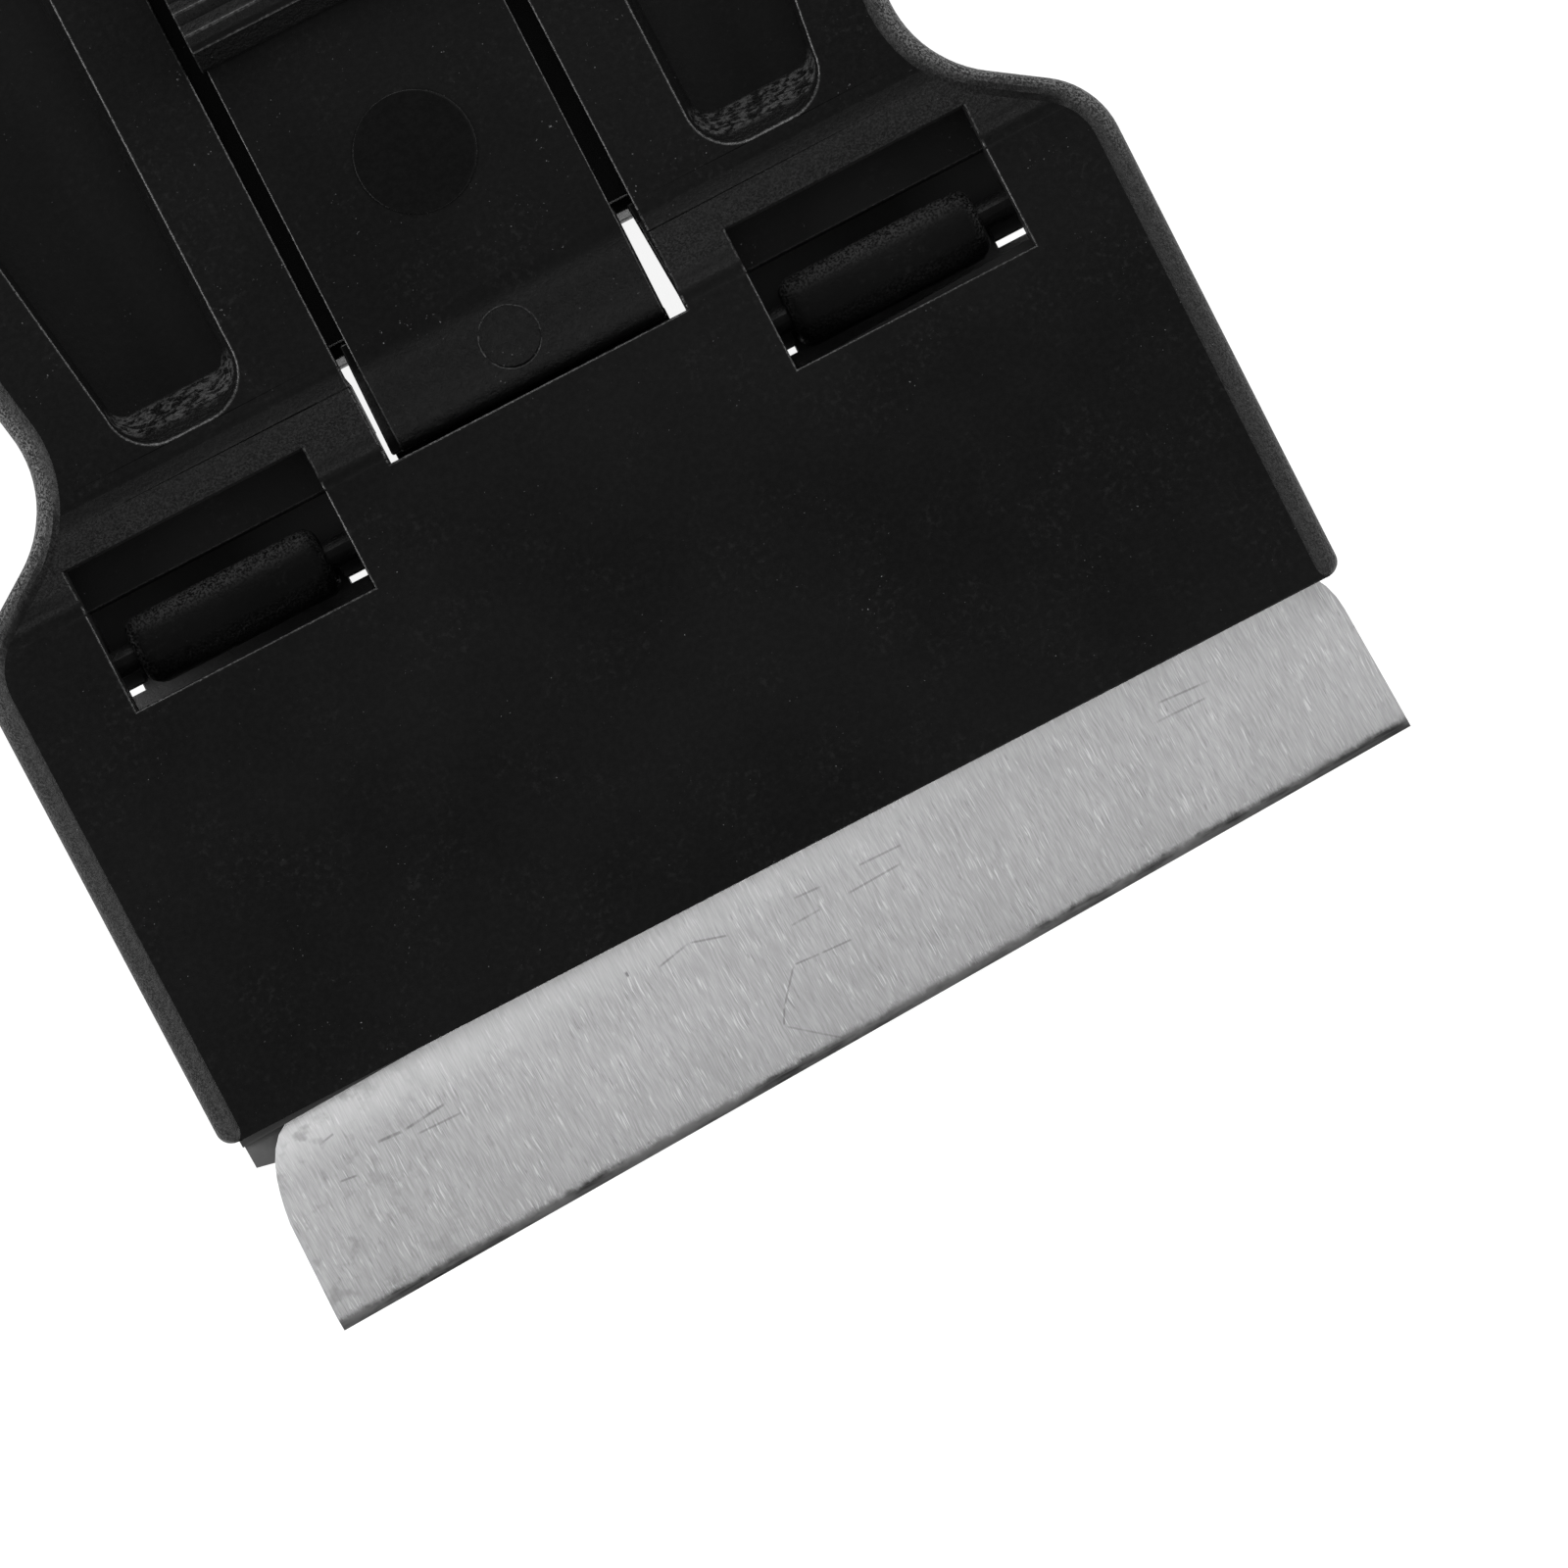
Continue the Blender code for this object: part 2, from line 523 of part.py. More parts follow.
def build_body_top(parent, material):
    """Head plate and the upper shell of the handle, in one moulding."""
    stations = [BEVEL_START + BEVEL_LENGTH * k / 6 for k in range(7)] + [HEAD_SIDE / 2]
    layers = [(0, lambda y: TOP_SHELL_UNDER)]
    for draw_in, short in rounding(EDGE_RADIUS, crease=EDGE_CREASE):
        layers.append((draw_in, lambda y, short=short: top_height(y) - short))
    body = place("body_top", slab(half_outline(), layers, HEAD_SIDE, stations), parent, material)
    below, above = TOP_SHELL_UNDER - BEYOND, HANDLE_TOP + BEYOND
    cut(body, "under_head", box((-HEAD_WIDTH, -BEYOND, below), (HEAD_WIDTH, SHELF_FRONT, HEAD_UNDER)))
    cut(body, "tail_way", box((-TAIL_ROOT_LEFT - GAP, SHELF_FRONT - WALL, below - BEYOND),
                              (TAIL_ROOT_RIGHT + GAP, OPENING_FRONT + WALL, SHELF_TOP)))
    pocket_top = HANDLE_TOP - RECESS_DEPTH - RECESS_SKIN
    for side, hand in ((-1, "left"), (1, "right")):
        middle = side * WINDOW_SPREAD / 2
        low, high = middle - WINDOW_LENGTH / 2, middle + WINDOW_LENGTH / 2
        cut(body, f"window_{hand}", box((low, WINDOW_FRONT, SHELF_TOP), (high, LEDGE_FRONT, above)))
        cut(body, f"ledge_{hand}", box((low, LEDGE_FRONT - GAP, LEDGE_TOP), (high, WINDOW_REAR, above + GAP)))
        low, high = low - AXLE_HOLD, high + AXLE_HOLD
        join(body, f"axle_{hand}", bar(AXLE_Y, AXLE_Z, AXLE_RADIUS, low, high))
        hook = side * HOOK_SPREAD / 2 + JAW_OFFSET
        reach = HOOK_WIDTH / 2 + FIT
        for end, start, stop in (("left", low, hook - reach), ("right", hook + reach, high)):
            floor = box((start, FLOOR_FRONT, TOP_SHELL_UNDER + SEAM),
                        (stop, SHELF_FRONT + GAP, SHELF_TOP - SEAM))
            join(body, f"{end}_floor_{hand}", floor)
        cut(body, f"recess_{hand}", recess_cutter(side))
        cut(body, f"pocket_{hand}", plate(mirrored(pocket_outline(), side), below, pocket_top))
    cut(body, "slot", box((-OPENING_HALF, OPENING_FRONT, below), (OPENING_HALF, SLOT_END, above)))
    cut(body, "channel", box((-CHANNEL_HALF, WINDOW_REAR + WALL, below),
                             (CHANNEL_HALF, CHANNEL_END, DECK_UNDER)))
    join(body, "side_wedge", side_wedge())
    cut(body, "hang_hole", drum(0, HANG_HOLE_Y, HANG_HOLE_RADIUS, below, above))
    for k, y in enumerate(SCREW_PLACES):
        tip = SCREW_SUNK + SCREW_HEAD_HEIGHT + SCREW_LENGTH
        cut(body, f"pilot_{k}", drum(0, y, SCREW_RADIUS + FIT, below, tip + GAP, 20))
    return body


def build_body_bottom(parent, material):
    """Lower shell of the handle, with the two rails that the slider's shoe runs on."""
    outline = half_outline()
    outline = refine(outline, crossings(outline, [SHELL_FRONT]))
    outline = [(x, y) for x, y in outline if y > SHELL_FRONT - SEAM]
    layers = [(draw_in, lambda y, short=short: short) for draw_in, short in reversed(rounding(FOOT_RADIUS))]
    layers.append((0, lambda y: BOTTOM_SHELL_TOP))
    shell = place("body_bottom", slab(outline, layers, SHELL_FRONT + NECK_RADIUS), parent, material)
    above = BOTTOM_SHELL_TOP + BEYOND
    cut(shell, "channel", box((-CHANNEL_HALF, SHELL_FRONT - BEYOND, CHANNEL_FLOOR),
                              (CHANNEL_HALF, CHANNEL_END, above)))
    for side, hand in ((-1, "left"), (1, "right")):
        cut(shell, f"pocket_{hand}", plate(mirrored(pocket_outline(), side), FLOOR, above))
        low, high = sorted((side * RAIL_INNER, side * RAIL_OUTER))
        rail = box((low, SHELL_FRONT, CHANNEL_FLOOR / 2), (high, CHANNEL_END - GAP, FLANGE_UNDER - GAP))
        join(shell, f"rail_{hand}", rail)
    cut(shell, "hang_hole", drum(0, HANG_HOLE_Y, HANG_HOLE_RADIUS, -BEYOND, above))
    for k, y in enumerate(SCREW_PLACES):
        cut(shell, f"screw_hole_{k}", drum(0, y, SCREW_RADIUS + FIT, -BEYOND, above, 20))
        seat = SCREW_SUNK + SCREW_HEAD_HEIGHT + FIT
        cut(shell, f"screw_seat_{k}", drum(0, y, SCREW_HEAD_RADIUS + FIT, -BEYOND, seat, 24))
    return shell


def build_screw(name, y, parent, material):
    """Self-tapping screw with a cross recess, driven from below."""
    top = SCREW_SUNK + SCREW_HEAD_HEIGHT
    rim = SCREW_HEAD_HEIGHT / 3
    tip = top + SCREW_LENGTH
    steps = [(SCREW_HEAD_RADIUS - rim, SCREW_SUNK), (SCREW_HEAD_RADIUS, SCREW_SUNK + rim),
             (SCREW_HEAD_RADIUS, top), (SCREW_RADIUS, top), (SCREW_RADIUS, tip - SCREW_RADIUS),
             (SCREW_RADIUS / 3, tip)]
    sides = 20
    loops = [[(px, py, z) for px, py in arc(0, y, r, 0, 360 - 360 / sides, sides - 1)] for r, z in steps]
    screw = place(name, loft(loops), parent, material)
    arm, half_width, floor = SCREW_RADIUS + FIT, SCREW_RADIUS / 4, SCREW_SUNK + rim * 1.5
    for turn, (a, b) in enumerate(((arm, half_width), (half_width, arm))):
        cut(screw, f"cross_{turn}", box((-a, y - b, 0), (a, y + b, floor)))


def hook_profile(drawn_in):
    """Side view of a hook: an arm up from the jaw that curls over the axle bar."""
    inner, outer = HOOK_RADIUS - HOOK_WALL, HOOK_RADIUS - drawn_in
    end = math.degrees(HOOK_END)
    points = [(AXLE_Y - outer, JAW_TOP - JAW_THICKNESS / 2)]
    points += arc(AXLE_Y, AXLE_Z, outer, 180, 90, 8)
    shape = ((0, 1), (0.41, 1), (0.98, 0.745), (1, 0.5))
    points += bezier(*[(AXLE_Y + outer * y, AXLE_Z + outer * z) for y, z in shape], 8)
    points += arc(AXLE_Y, AXLE_Z, outer, 0, end, 4)
    tip = math.radians(end)
    middle = (outer + inner) / 2
    tip_middle = (AXLE_Y + middle * math.cos(tip), AXLE_Z + middle * math.sin(tip))
    points += arc(*tip_middle, (outer - inner) / 2, end, end - 180, 4)[1:-1]
    points += arc(AXLE_Y, AXLE_Z, inner, end, 180, 12)
    points.append((AXLE_Y - inner, JAW_TOP - JAW_THICKNESS / 2))
    return points


def hook(middle):
    """Hook with rounded ends, round a middle across the tool."""
    ends = [(HOOK_WIDTH / 2 - short, drawn_in) for drawn_in, short in rounding(HOOK_ROUND, 5)]
    stations = [(middle - reach, drawn_in) for reach, drawn_in in reversed(ends)]
    stations += [(middle + reach, drawn_in) for reach, drawn_in in ends]
    return loft([[(x, y, z) for y, z in hook_profile(drawn_in)] for x, drawn_in in stations])


def build_jaw(parent, material):
    """Lower jaw: plate, two hooks, locating peg and the tail under the slider."""
    half, front = JAW_WIDTH / 2, JAW_SETBACK
    foot = JAW_LIFT
    side_view = [(front + JAW_EDGE, foot), (JAW_REAR, foot), (JAW_REAR, JAW_TOP), (front, JAW_TOP),
                 (front, foot + JAW_EDGE)]
    jaw = place("lower_jaw", profile(side_view, JAW_OFFSET - half, JAW_OFFSET + half), parent, material)
    tail = TAIL_WIDTH / 2
    taper = JAW_EDGE
    tail_view = [(JAW_REAR - GAP, foot), (TAIL_END - taper, foot), (TAIL_END, foot + taper),
                 (TAIL_END, JAW_TOP - taper / 2), (TAIL_END - taper / 2, JAW_TOP), (JAW_REAR - GAP, JAW_TOP)]
    join(jaw, "tail", profile(tail_view, -tail, tail))
    join(jaw, "tail_root", box((-TAIL_ROOT_LEFT, JAW_REAR - FIT, foot + SEAM),
                               (TAIL_ROOT_RIGHT, OPENING_FRONT + WALL / 2, JAW_TOP - SEAM)))
    for side, hand in ((-1, "left"), (1, "right")):
        middle = side * HOOK_SPREAD / 2 + JAW_OFFSET
        left = side * WINDOW_SPREAD / 2 - ROOT_LEFT
        right = middle + HOOK_WIDTH / 2 + FIT + 2 * SEAM
        pad = box((left, JAW_REAR - GAP, foot), (right, AXLE_Y, JAW_TOP))
        join(jaw, f"root_{hand}", pad)
        join(jaw, f"hook_{hand}", hook(middle))
    join(jaw, "peg", drum(JAW_OFFSET, PEG_Y, PEG_RADIUS, foot + JAW_THICKNESS / 2, HOLDER_TOP - GAP, 24))
    pitch = (JAW_REAR - front) / (GRIP_GROOVES + 3)
    reach = half - GRIP_MARGIN
    for k in range(GRIP_GROOVES):
        y = front + pitch * (k + 1.5)
        cut(jaw, f"groove_{k}", box((-reach, y - GRIP_GROOVE, foot - BEYOND),
                                    (reach, y + GRIP_GROOVE, foot + GRIP_GROOVE)))
    return jaw


def blade_outline(grow=0.0):
    """The blade from above, measured from the cutting edge's middle and grown by grow."""
    half, rear = BLADE_WIDTH / 2 + grow, BLADE_DEPTH + grow
    waist = half - SHOULDER_INSET
    run = SHOULDER_RUN + grow
    right = [(half, 0)]
    right += [(waist + x * SHOULDER_INSET, BLADE_SIDE + y * run) for x, y in arc(0, 0, 1, 0, 90, 8)]
    side, run = half - BLADE_DRAFT, LEFT_RUN + grow
    guides = [(side, LEFT_SIDE), (side - BLADE_DRAFT, LEFT_SIDE + 0.41 * run),
              (side - 3.5 * BLADE_DRAFT, LEFT_SIDE + 0.98 * run), (waist, LEFT_SIDE + run)]
    left = [(half, 0), guides[0]] + bezier(*guides, 8)
    return right + [(waist, rear), (-waist, rear)] + [(-x, y) for x, y in reversed(left)]


def build_blade(parent, material):
    """Waisted steel blade with its cutting edge ground thin."""
    low, high = BLADE_UNDER, BLADE_UNDER + BLADE_THICKNESS
    middle = (low + high) / 2
    outline = blade_outline()
    ground = [(x, max(y, GRIND)) for x, y in outline]
    heights = ((ground, low), (outline, middle - EDGE_THICKNESS / 2), (outline, middle + EDGE_THICKNESS / 2),
               (ground, high))
    sections = [[(x, y, z) for x, y in points] for points, z in heights]
    return place("blade", loft(sections), parent, material)


def build_holder(parent, material):
    """Tray with two sloped ears under the blade's ends and an upper lip; the blade sits in its slot."""
    half = HOLDER_WIDTH / 2
    rear = HOLDER_REAR + BLADE_REACH
    outline = [(half - 4 * EAR_CHAMFER, EAR_SETBACK), (half, EAR_SETBACK + EAR_CHAMFER), (half, rear)]
    outline += [(-x, y) for x, y in reversed(outline)]
    holder = place("blade_holder", plate(outline, HOLDER_FLOOR, HOLDER_TOP), parent, material)
    low, high = BLADE_UNDER - FIT, BLADE_UNDER + BLADE_THICKNESS + FIT
    seat = [(x, y if y > 0 else -BEYOND) for x, y in blade_outline(FIT)]
    cut(holder, "seat", plate(seat, low, high))
    lip = EAR_SETBACK + LIP_SETBACK
    wide = half + BEYOND
    cut(holder, "front", box((-wide, -BEYOND - GAP, low - SEAM), (wide, lip, HOLDER_TOP + BEYOND)))
    peg = PEG_Y + BLADE_REACH
    notch = arc(0, peg, NOTCH_RADIUS, 180, 360, 12)
    notch += [(NOTCH_RADIUS, rear + BEYOND), (-NOTCH_RADIUS, rear + BEYOND)]
    cut(holder, "notch", plate(notch, HOLDER_FLOOR - BEYOND, HOLDER_TOP + BEYOND))
    return holder


def strip_profile():
    """Side view of the slider's strip: nose, slope, flat."""
    front = STRIP_FRONT
    top = []
    steps = 6
    for k in range(steps + 1):
        a = math.radians(90 * k / steps)
        y = front + STRIP_NOSE * (1 - math.cos(a))
        top.append((y, top_height(y) - STRIP_NOSE * (1 - math.sin(a))))
    steps = 8
    for k in range(1, steps + 1):
        y = front + STRIP_NOSE + (BEVEL_END - front - STRIP_NOSE) * k / steps
        top.append((y, top_height(y)))
    under = [(STRIP_REAR, HANDLE_TOP), (STRIP_REAR, DECK_UNDER)]
    for k in range(steps + 1):
        y = BEVEL_END + (front + STRIP_NOSE / 2 - BEVEL_END) * k / steps
        under.append((y, top_height(y) - DECK))
    return top + under


def pad_profile():
    """Side view of the thumb pad: fine steps up its front, soft waves, a slope down at the rear."""
    start, foot = STRIP_FRONT + PAD_START, HANDLE_TOP - DECK / 2
    height = PAD_HEIGHT - RIB_HEIGHT
    tread, rise = PAD_SLOPE / PAD_STEPS, height / PAD_STEPS
    points = [(start, foot)]
    for k in range(PAD_STEPS):
        y, z = start + tread * k, HANDLE_TOP + rise * k
        points += [(y, z + rise / 2), (y + tread / 3, z + rise)]
    waves = int((STRIP_REAR - PAD_MARGIN - 2 * PAD_SLOPE - start) / RIB_PITCH)
    steps = 6
    for k in range(waves * steps + 1):
        swell = (1 - math.cos(2 * math.pi * k / steps)) / 2
        points.append((start + PAD_SLOPE + RIB_PITCH * k / steps, HANDLE_TOP + height + RIB_HEIGHT * swell))
    end = points[-1][0] + PAD_SLOPE
    return points + [(end, HANDLE_TOP + height / 4), (end, foot)]


def skirt():
    """Lower edge of the strip's bent front, a little wider than the strip."""
    steps = 8
    front, rear = STRIP_FRONT + 2 * SEAM, BEVEL_END + GAP
    places = [front + (rear - front) * k / steps for k in range(steps + 1)]
    view = [(y, top_height(y) - SKIRT_DROP) for y in places]
    view += [(y, top_height(y) - DECK + SEAM) for y in reversed(places)]
    left = []
    for y, z in view:
        widen = SKIRT_TAPER * (rear - y) / (rear - front)
        left.append((-STRIP_HALF - SKIRT_LEFT - widen, y, z))
    return loft([left, [(STRIP_HALF + SKIRT_RIGHT, y, z) for y, z in view]])


def build_slider(parent, material):
    """Strip with the thumb pad; the shoe's stud seats in a socket under its round mark."""
    slider = place("slider", profile(strip_profile(), -STRIP_HALF, STRIP_HALF), parent, material)
    join(slider, "skirt", skirt())
    reach = STRIP_HALF + PAD_REACH
    join(slider, "pad", profile(pad_profile(), -reach, reach))
    y = STRIP_FRONT + DISC_SETBACK
    cut(slider, "stud_hole", drum(0, y, STUD_RADIUS + FIT, DECK_UNDER - BEYOND, HANDLE_TOP - STUD_SKIN, 40))
    join(slider, "disc", drum(0, y, DISC_RADIUS, HANDLE_TOP - STUD_SKIN / 2, HANDLE_TOP + DISC_RISE, 48))
    gate = STRIP_FRONT + GATE_SETBACK
    floor = top_height(gate) - GATE_DEPTH
    slope = (top_height(gate + GATE_RADIUS) - top_height(gate - GATE_RADIUS)) / (2 * GATE_RADIUS)
    ring = arc(0, gate, GATE_RADIUS, 0, 360 - 360 / 24, 23)
    sections = [[(px, py, floor + slope * (py - gate) + rise) for px, py in ring] for rise in (0, BEYOND)]
    cut(slider, "gate_mark", loft(sections))
    return slider


def build_shoe(parent, material):
    """Shoe under the strip: flanges on the rails, a wedge over the jaw's tail, and the stud."""
    front, rear = SHOE_FRONT, SHOE_FRONT + SHOE_LENGTH
    low = JAW_TOP + GAP
    wedge = [(front, low + RAMP_RISE), (TAIL_END, low), (TAIL_END + RAMP_RUN, low),
             (TAIL_END + RAMP_RUN, SHOE_TOP), (front, SHOE_TOP)]
    shoe = place("wedge_shoe", profile(wedge, -WEDGE_HALF, WEDGE_HALF), parent, material)
    join(shoe, "flange", box((-SHOE_HALF, front, FLANGE_UNDER), (SHOE_HALF, rear, SHOE_TOP)))
    y = STRIP_FRONT + DISC_SETBACK
    top = HANDLE_TOP - STUD_SKIN - FIT
    join(shoe, "stud", drum(0, y, STUD_RADIUS, SHOE_TOP - FLANGE_THICKNESS / 2, top, 40))
    return shoe


def main():
    for thing in list(bpy.data.objects):
        bpy.data.objects.remove(thing, do_unlink=True)
    black = finish("black_plastic", (0.003, 0.003, 0.003), 0.4)
    jaw_black = finish("jaw_plastic", (0.003, 0.003, 0.003), 0.38)
    holder_grey = finish("holder_plastic", (0.11, 0.11, 0.11), 0.4)
    steel = finish("blade_steel", (0.78, 0.78, 0.79), 0.5, 1.0)
    zinc = finish("screw_steel", (0.46, 0.46, 0.47), 0.33, 1.0)
    tool = axis("scraper", (0, -FOOTPRINT_MIDDLE, 0))
    build_body_top(tool, black)
    build_body_bottom(tool, black)
    for name, y in zip(("front_screw", "rear_screw"), SCREW_PLACES):
        build_screw(name, y, tool, zinc)
    slide = joint_group("slider", (0, (STRIP_FRONT + STRIP_REAR) / 2, 0), tool, STRIP_TURN)
    build_slider(slide, black)
    build_shoe(slide, black)
    build_jaw(joint_group("jaw", (0, AXLE_Y, AXLE_Z), tool), jaw_black)
    unit = axis("blade_unit", (BLADE_OFFSET, -BLADE_REACH, 0), tool, BLADE_SKEW)
    build_holder(unit, holder_grey)
    build_blade(unit, steel)


main()
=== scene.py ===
"""Looks of the slide-lock blade scraper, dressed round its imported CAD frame. Lengths are metres."""

import json
import math

import bmesh
import bpy
from mathutils import Matrix, Vector

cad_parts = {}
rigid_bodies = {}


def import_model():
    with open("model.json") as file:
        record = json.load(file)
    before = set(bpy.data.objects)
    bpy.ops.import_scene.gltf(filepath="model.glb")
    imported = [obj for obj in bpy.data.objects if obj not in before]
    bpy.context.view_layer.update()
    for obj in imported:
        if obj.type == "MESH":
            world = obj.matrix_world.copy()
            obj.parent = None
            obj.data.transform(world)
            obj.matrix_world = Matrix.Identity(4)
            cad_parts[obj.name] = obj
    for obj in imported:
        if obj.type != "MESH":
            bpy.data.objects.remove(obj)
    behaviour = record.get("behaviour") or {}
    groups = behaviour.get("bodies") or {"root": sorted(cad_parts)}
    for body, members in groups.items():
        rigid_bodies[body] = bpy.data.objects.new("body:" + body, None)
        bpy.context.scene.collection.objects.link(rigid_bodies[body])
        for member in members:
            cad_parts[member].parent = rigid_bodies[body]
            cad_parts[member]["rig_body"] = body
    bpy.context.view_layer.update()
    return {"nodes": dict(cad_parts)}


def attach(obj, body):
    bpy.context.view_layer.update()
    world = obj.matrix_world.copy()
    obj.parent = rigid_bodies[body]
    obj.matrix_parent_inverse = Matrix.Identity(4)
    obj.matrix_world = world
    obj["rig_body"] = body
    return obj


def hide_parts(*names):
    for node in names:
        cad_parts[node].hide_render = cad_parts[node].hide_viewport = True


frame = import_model()

MM = 0.001

# Places and sizes that the looks share with the CAD
LIP_Y = -0.048493                   # the head's front lip, in the row frame
BLADE_SKEW = math.radians(2.15)
BLADE_PIVOT = Vector((0.00017, LIP_Y - 6.3 * MM, 0))
DISC = Vector((-0.1 * MM, LIP_Y + 24.22 * MM, 10.6 * MM))
DISC_RADIUS = 1.9 * MM
SLOPE_START = LIP_Y + 16.274 * MM   # the slope that rises from the head to the handle
SLOPE_LENGTH = 3.4 * MM
SLOPE_STATIONS = 6                  # straight runs that the CAD gives the slope
SLOPE_RUNS = 18                     # finer runs that it gets here
HEAD_TOP = 9.0 * MM
HEAD_DROP = 1.6 * MM                # how far the head's top lies under the handle's
EDGE_RADIUS = 1.1 * MM
EDGE_REACH = 1.03 * EDGE_RADIUS     # how far under the top its rounded edge is cut and lifted
RECESS_FRONT = LIP_Y + 19.8 * MM
RECESS_FLOOR = 8.8 * MM
WINDOW_BACK = LIP_Y + 18 * MM
HEAD_UNDER = 8.5 * MM               # in front of WINDOW_BACK, only the windows' insides lie lower
OUTSIDE = 12.2 * MM                 # past this far from the middle, slopes are outer ones
STRIP_SIDE = 4.9 * MM
LEDGE_LOW, LEDGE_HIGH = 7.0 * MM, 7.9 * MM
WELL_LOW, WELL_HIGH = 5.6 * MM, 6.4 * MM
HOOK_TOP_START = LIP_Y + 14.9 * MM

# How the meshes are rounded and shaded
WELD = 1e-6
CUT_SNAP = 1e-5                     # a cut uses a point that lies this near to it
FLAT_TURN = math.radians(0.5)
CORNER_TURN = math.radians(30)
SHORT_EDGE = 0.1 * MM
MOST_SIDES = 8
SOFT_LIMIT = math.radians(50)
SAME_FLAT = 0.99999
LARGE_FLAT = 12 * MM ** 2
LARGE_FLAT_WEIGHT = 1000.0
ROUNDED_WEIGHT = 0.001

# Stage
FLOOR_HALF = 20.0
FLOOR_DROP = 0.02 * MM
LAMP_TARGET = Vector((0, -0.03, 0.005))
LAMP_DISTANCE = 0.6
WORLD_LEVEL = 0.3
# Each lamp's name, azimuth, elevation, width, height and level
LAMPS = (
    ("left_light", 172, 24, 0.5, 0.24, 1.3),
    ("rear_light", 80, 36, 0.5, 0.3, 0.9),
    ("right_light", 5, 24, 0.5, 0.24, 0.8),
    ("front_light", -85, 28, 0.5, 0.24, 0.36),
)
CAMERA_PLACE = (1.08 * MM, LIP_Y + 1.78 * MM, 0.409)
CAMERA_TURN = math.radians(-27.41)
CAMERA_LENS = 298.1
CAMERA_SENSOR = 36

# How much light the black plastic gives back, and how many times that its places and marks do; the slope and
# hook multiples are painted highlights, the ledge, well and recess-foot ones are painted light in shade, and
# the scoop's is partly a painted highlight
BLACK = 0.003
CLOUD_LOW, CLOUD_HIGH = 0.7, 1.2
MOTTLE = 2.2
# Painted highlight: how many times lighter the grain on the slopes is painted
SLOPE_HIGHLIGHT = 30
# Painted light that lifts the shade on the windows' ledges, in their wells and at the foot of the recesses
LEDGE_FILL_LIGHT = 5
WELL_FILL_LIGHT = 50
RECESS_FOOT_FILL_LIGHT = 2.2
DISC_TONE = 0.5
# Real coarse grain on the scooped ends, its patches painted lighter as a painted highlight
SCOOP_GRAIN_HIGHLIGHT = 14
# Painted highlight on the rear of the hooks' tops
HOOK_HIGHLIGHT = 8


# Node graphs
class Graph:
    """Builds a material's nodes with short calls. A noise's scale is in cells for each metre."""

    def __init__(self, name):
        self.material = bpy.data.materials.new(name)
        self.material.use_nodes = True
        self.nodes = self.material.node_tree.nodes
        self.links = self.material.node_tree.links
        self.shader = self.nodes["Principled BSDF"]

    def add(self, kind, inputs=None, **settings):
        node = self.nodes.new(kind)
        for key, value in settings.items():
            setattr(node, key, value)
        for key, value in (inputs or {}).items():
            self.feed(node.inputs[key], value)
        return node

    def feed(self, socket, value):
        if isinstance(value, bpy.types.NodeSocket):
            self.links.new(value, socket)
        else:
            socket.default_value = value

    def place(self, turn=0.0, shift=(0, 0, 0)):
        coords = self.add("ShaderNodeTexCoord").outputs["Object"]
        inputs = {"Vector": coords, "Rotation": (0, 0, turn), "Location": shift}
        return self.add("ShaderNodeMapping", inputs).outputs["Vector"]

    def facing(self, part):
        return self.split(self.add("ShaderNodeTexCoord").outputs["Normal"], part)

    def stretch(self, vector, scale):
        return self.add("ShaderNodeVectorMath", {0: vector, 1: scale}, operation="MULTIPLY").outputs[0]

    def split(self, vector, part):
        return self.add("ShaderNodeSeparateXYZ", {0: vector}).outputs[part]

    def noise(self, vector, scale, detail=2.0, roughness=0.5):
        inputs = {"Vector": vector, "Scale": scale, "Detail": detail, "Roughness": roughness}
        return self.add("ShaderNodeTexNoise", inputs).outputs["Fac"]

    def calc(self, operation, a, b=0.0, c=0.0):
        return self.add("ShaderNodeMath", {0: a, 1: b, 2: c}, operation=operation).outputs[0]

    def product(self, first, *others):
        for other in others:
            first = self.calc("MULTIPLY", first, other)
        return first

    def step(self, value, low, high, to_low=0.0, to_high=1.0):
        inputs = {"Value": value, "From Min": low, "From Max": high, "To Min": to_low, "To Max": to_high}
        return self.add("ShaderNodeMapRange", inputs, interpolation_type="SMOOTHSTEP").outputs["Result"]

    def blend(self, factor, a, b):
        node = self.add("ShaderNodeMix", data_type="RGBA")
        self.feed(node.inputs[0], factor)
        self.feed(node.inputs[6], a)
        self.feed(node.inputs[7], b)
        return node.outputs[2]

    def bump(self, height, distance, strength=1.0, normal=None):
        inputs = {"Height": height, "Distance": distance, "Strength": strength}
        if normal is not None:
            inputs["Normal"] = normal
        return self.add("ShaderNodeBump", inputs).outputs["Normal"]

    def finish(self, **sockets):
        names = {key.replace("_", " ").title().replace("Ior", "IOR"): value for key, value in sockets.items()}
        for key, value in names.items():
            self.feed(self.shader.inputs[key], value)
        return self.material


def grey(value, blue=1.0):
    return (value, value, value * blue, 1)


def painted_slope_highlight(g, here, slope, fine):
    """How strongly a highlight is painted on the grain: on the outer slopes that face outwards, and a little
    on the one behind the head.
    """
    x, y = g.split(here, "X"), g.split(here, "Y")
    handled = g.step(y, LIP_Y + 13 * MM, LIP_Y + 17.5 * MM, 0.25, 1.0)
    raised = g.product(slope, g.step(fine, 0.42, 0.62), handled)
    side = g.calc("ABSOLUTE", x)
    outward = g.step(g.calc("MULTIPLY", g.calc("SIGN", x), g.facing("X")), 0.05, 0.3)
    outer = g.product(g.step(side, OUTSIDE, OUTSIDE + 0.4 * MM), outward)
    head_slope = g.product(g.step(y, LIP_Y + 19 * MM, LIP_Y + 20 * MM, 0.3, 0.0),
                           g.step(side, STRIP_SIDE, STRIP_SIDE + 0.3 * MM))
    return g.product(raised, g.calc("MAXIMUM", outer, head_slope))


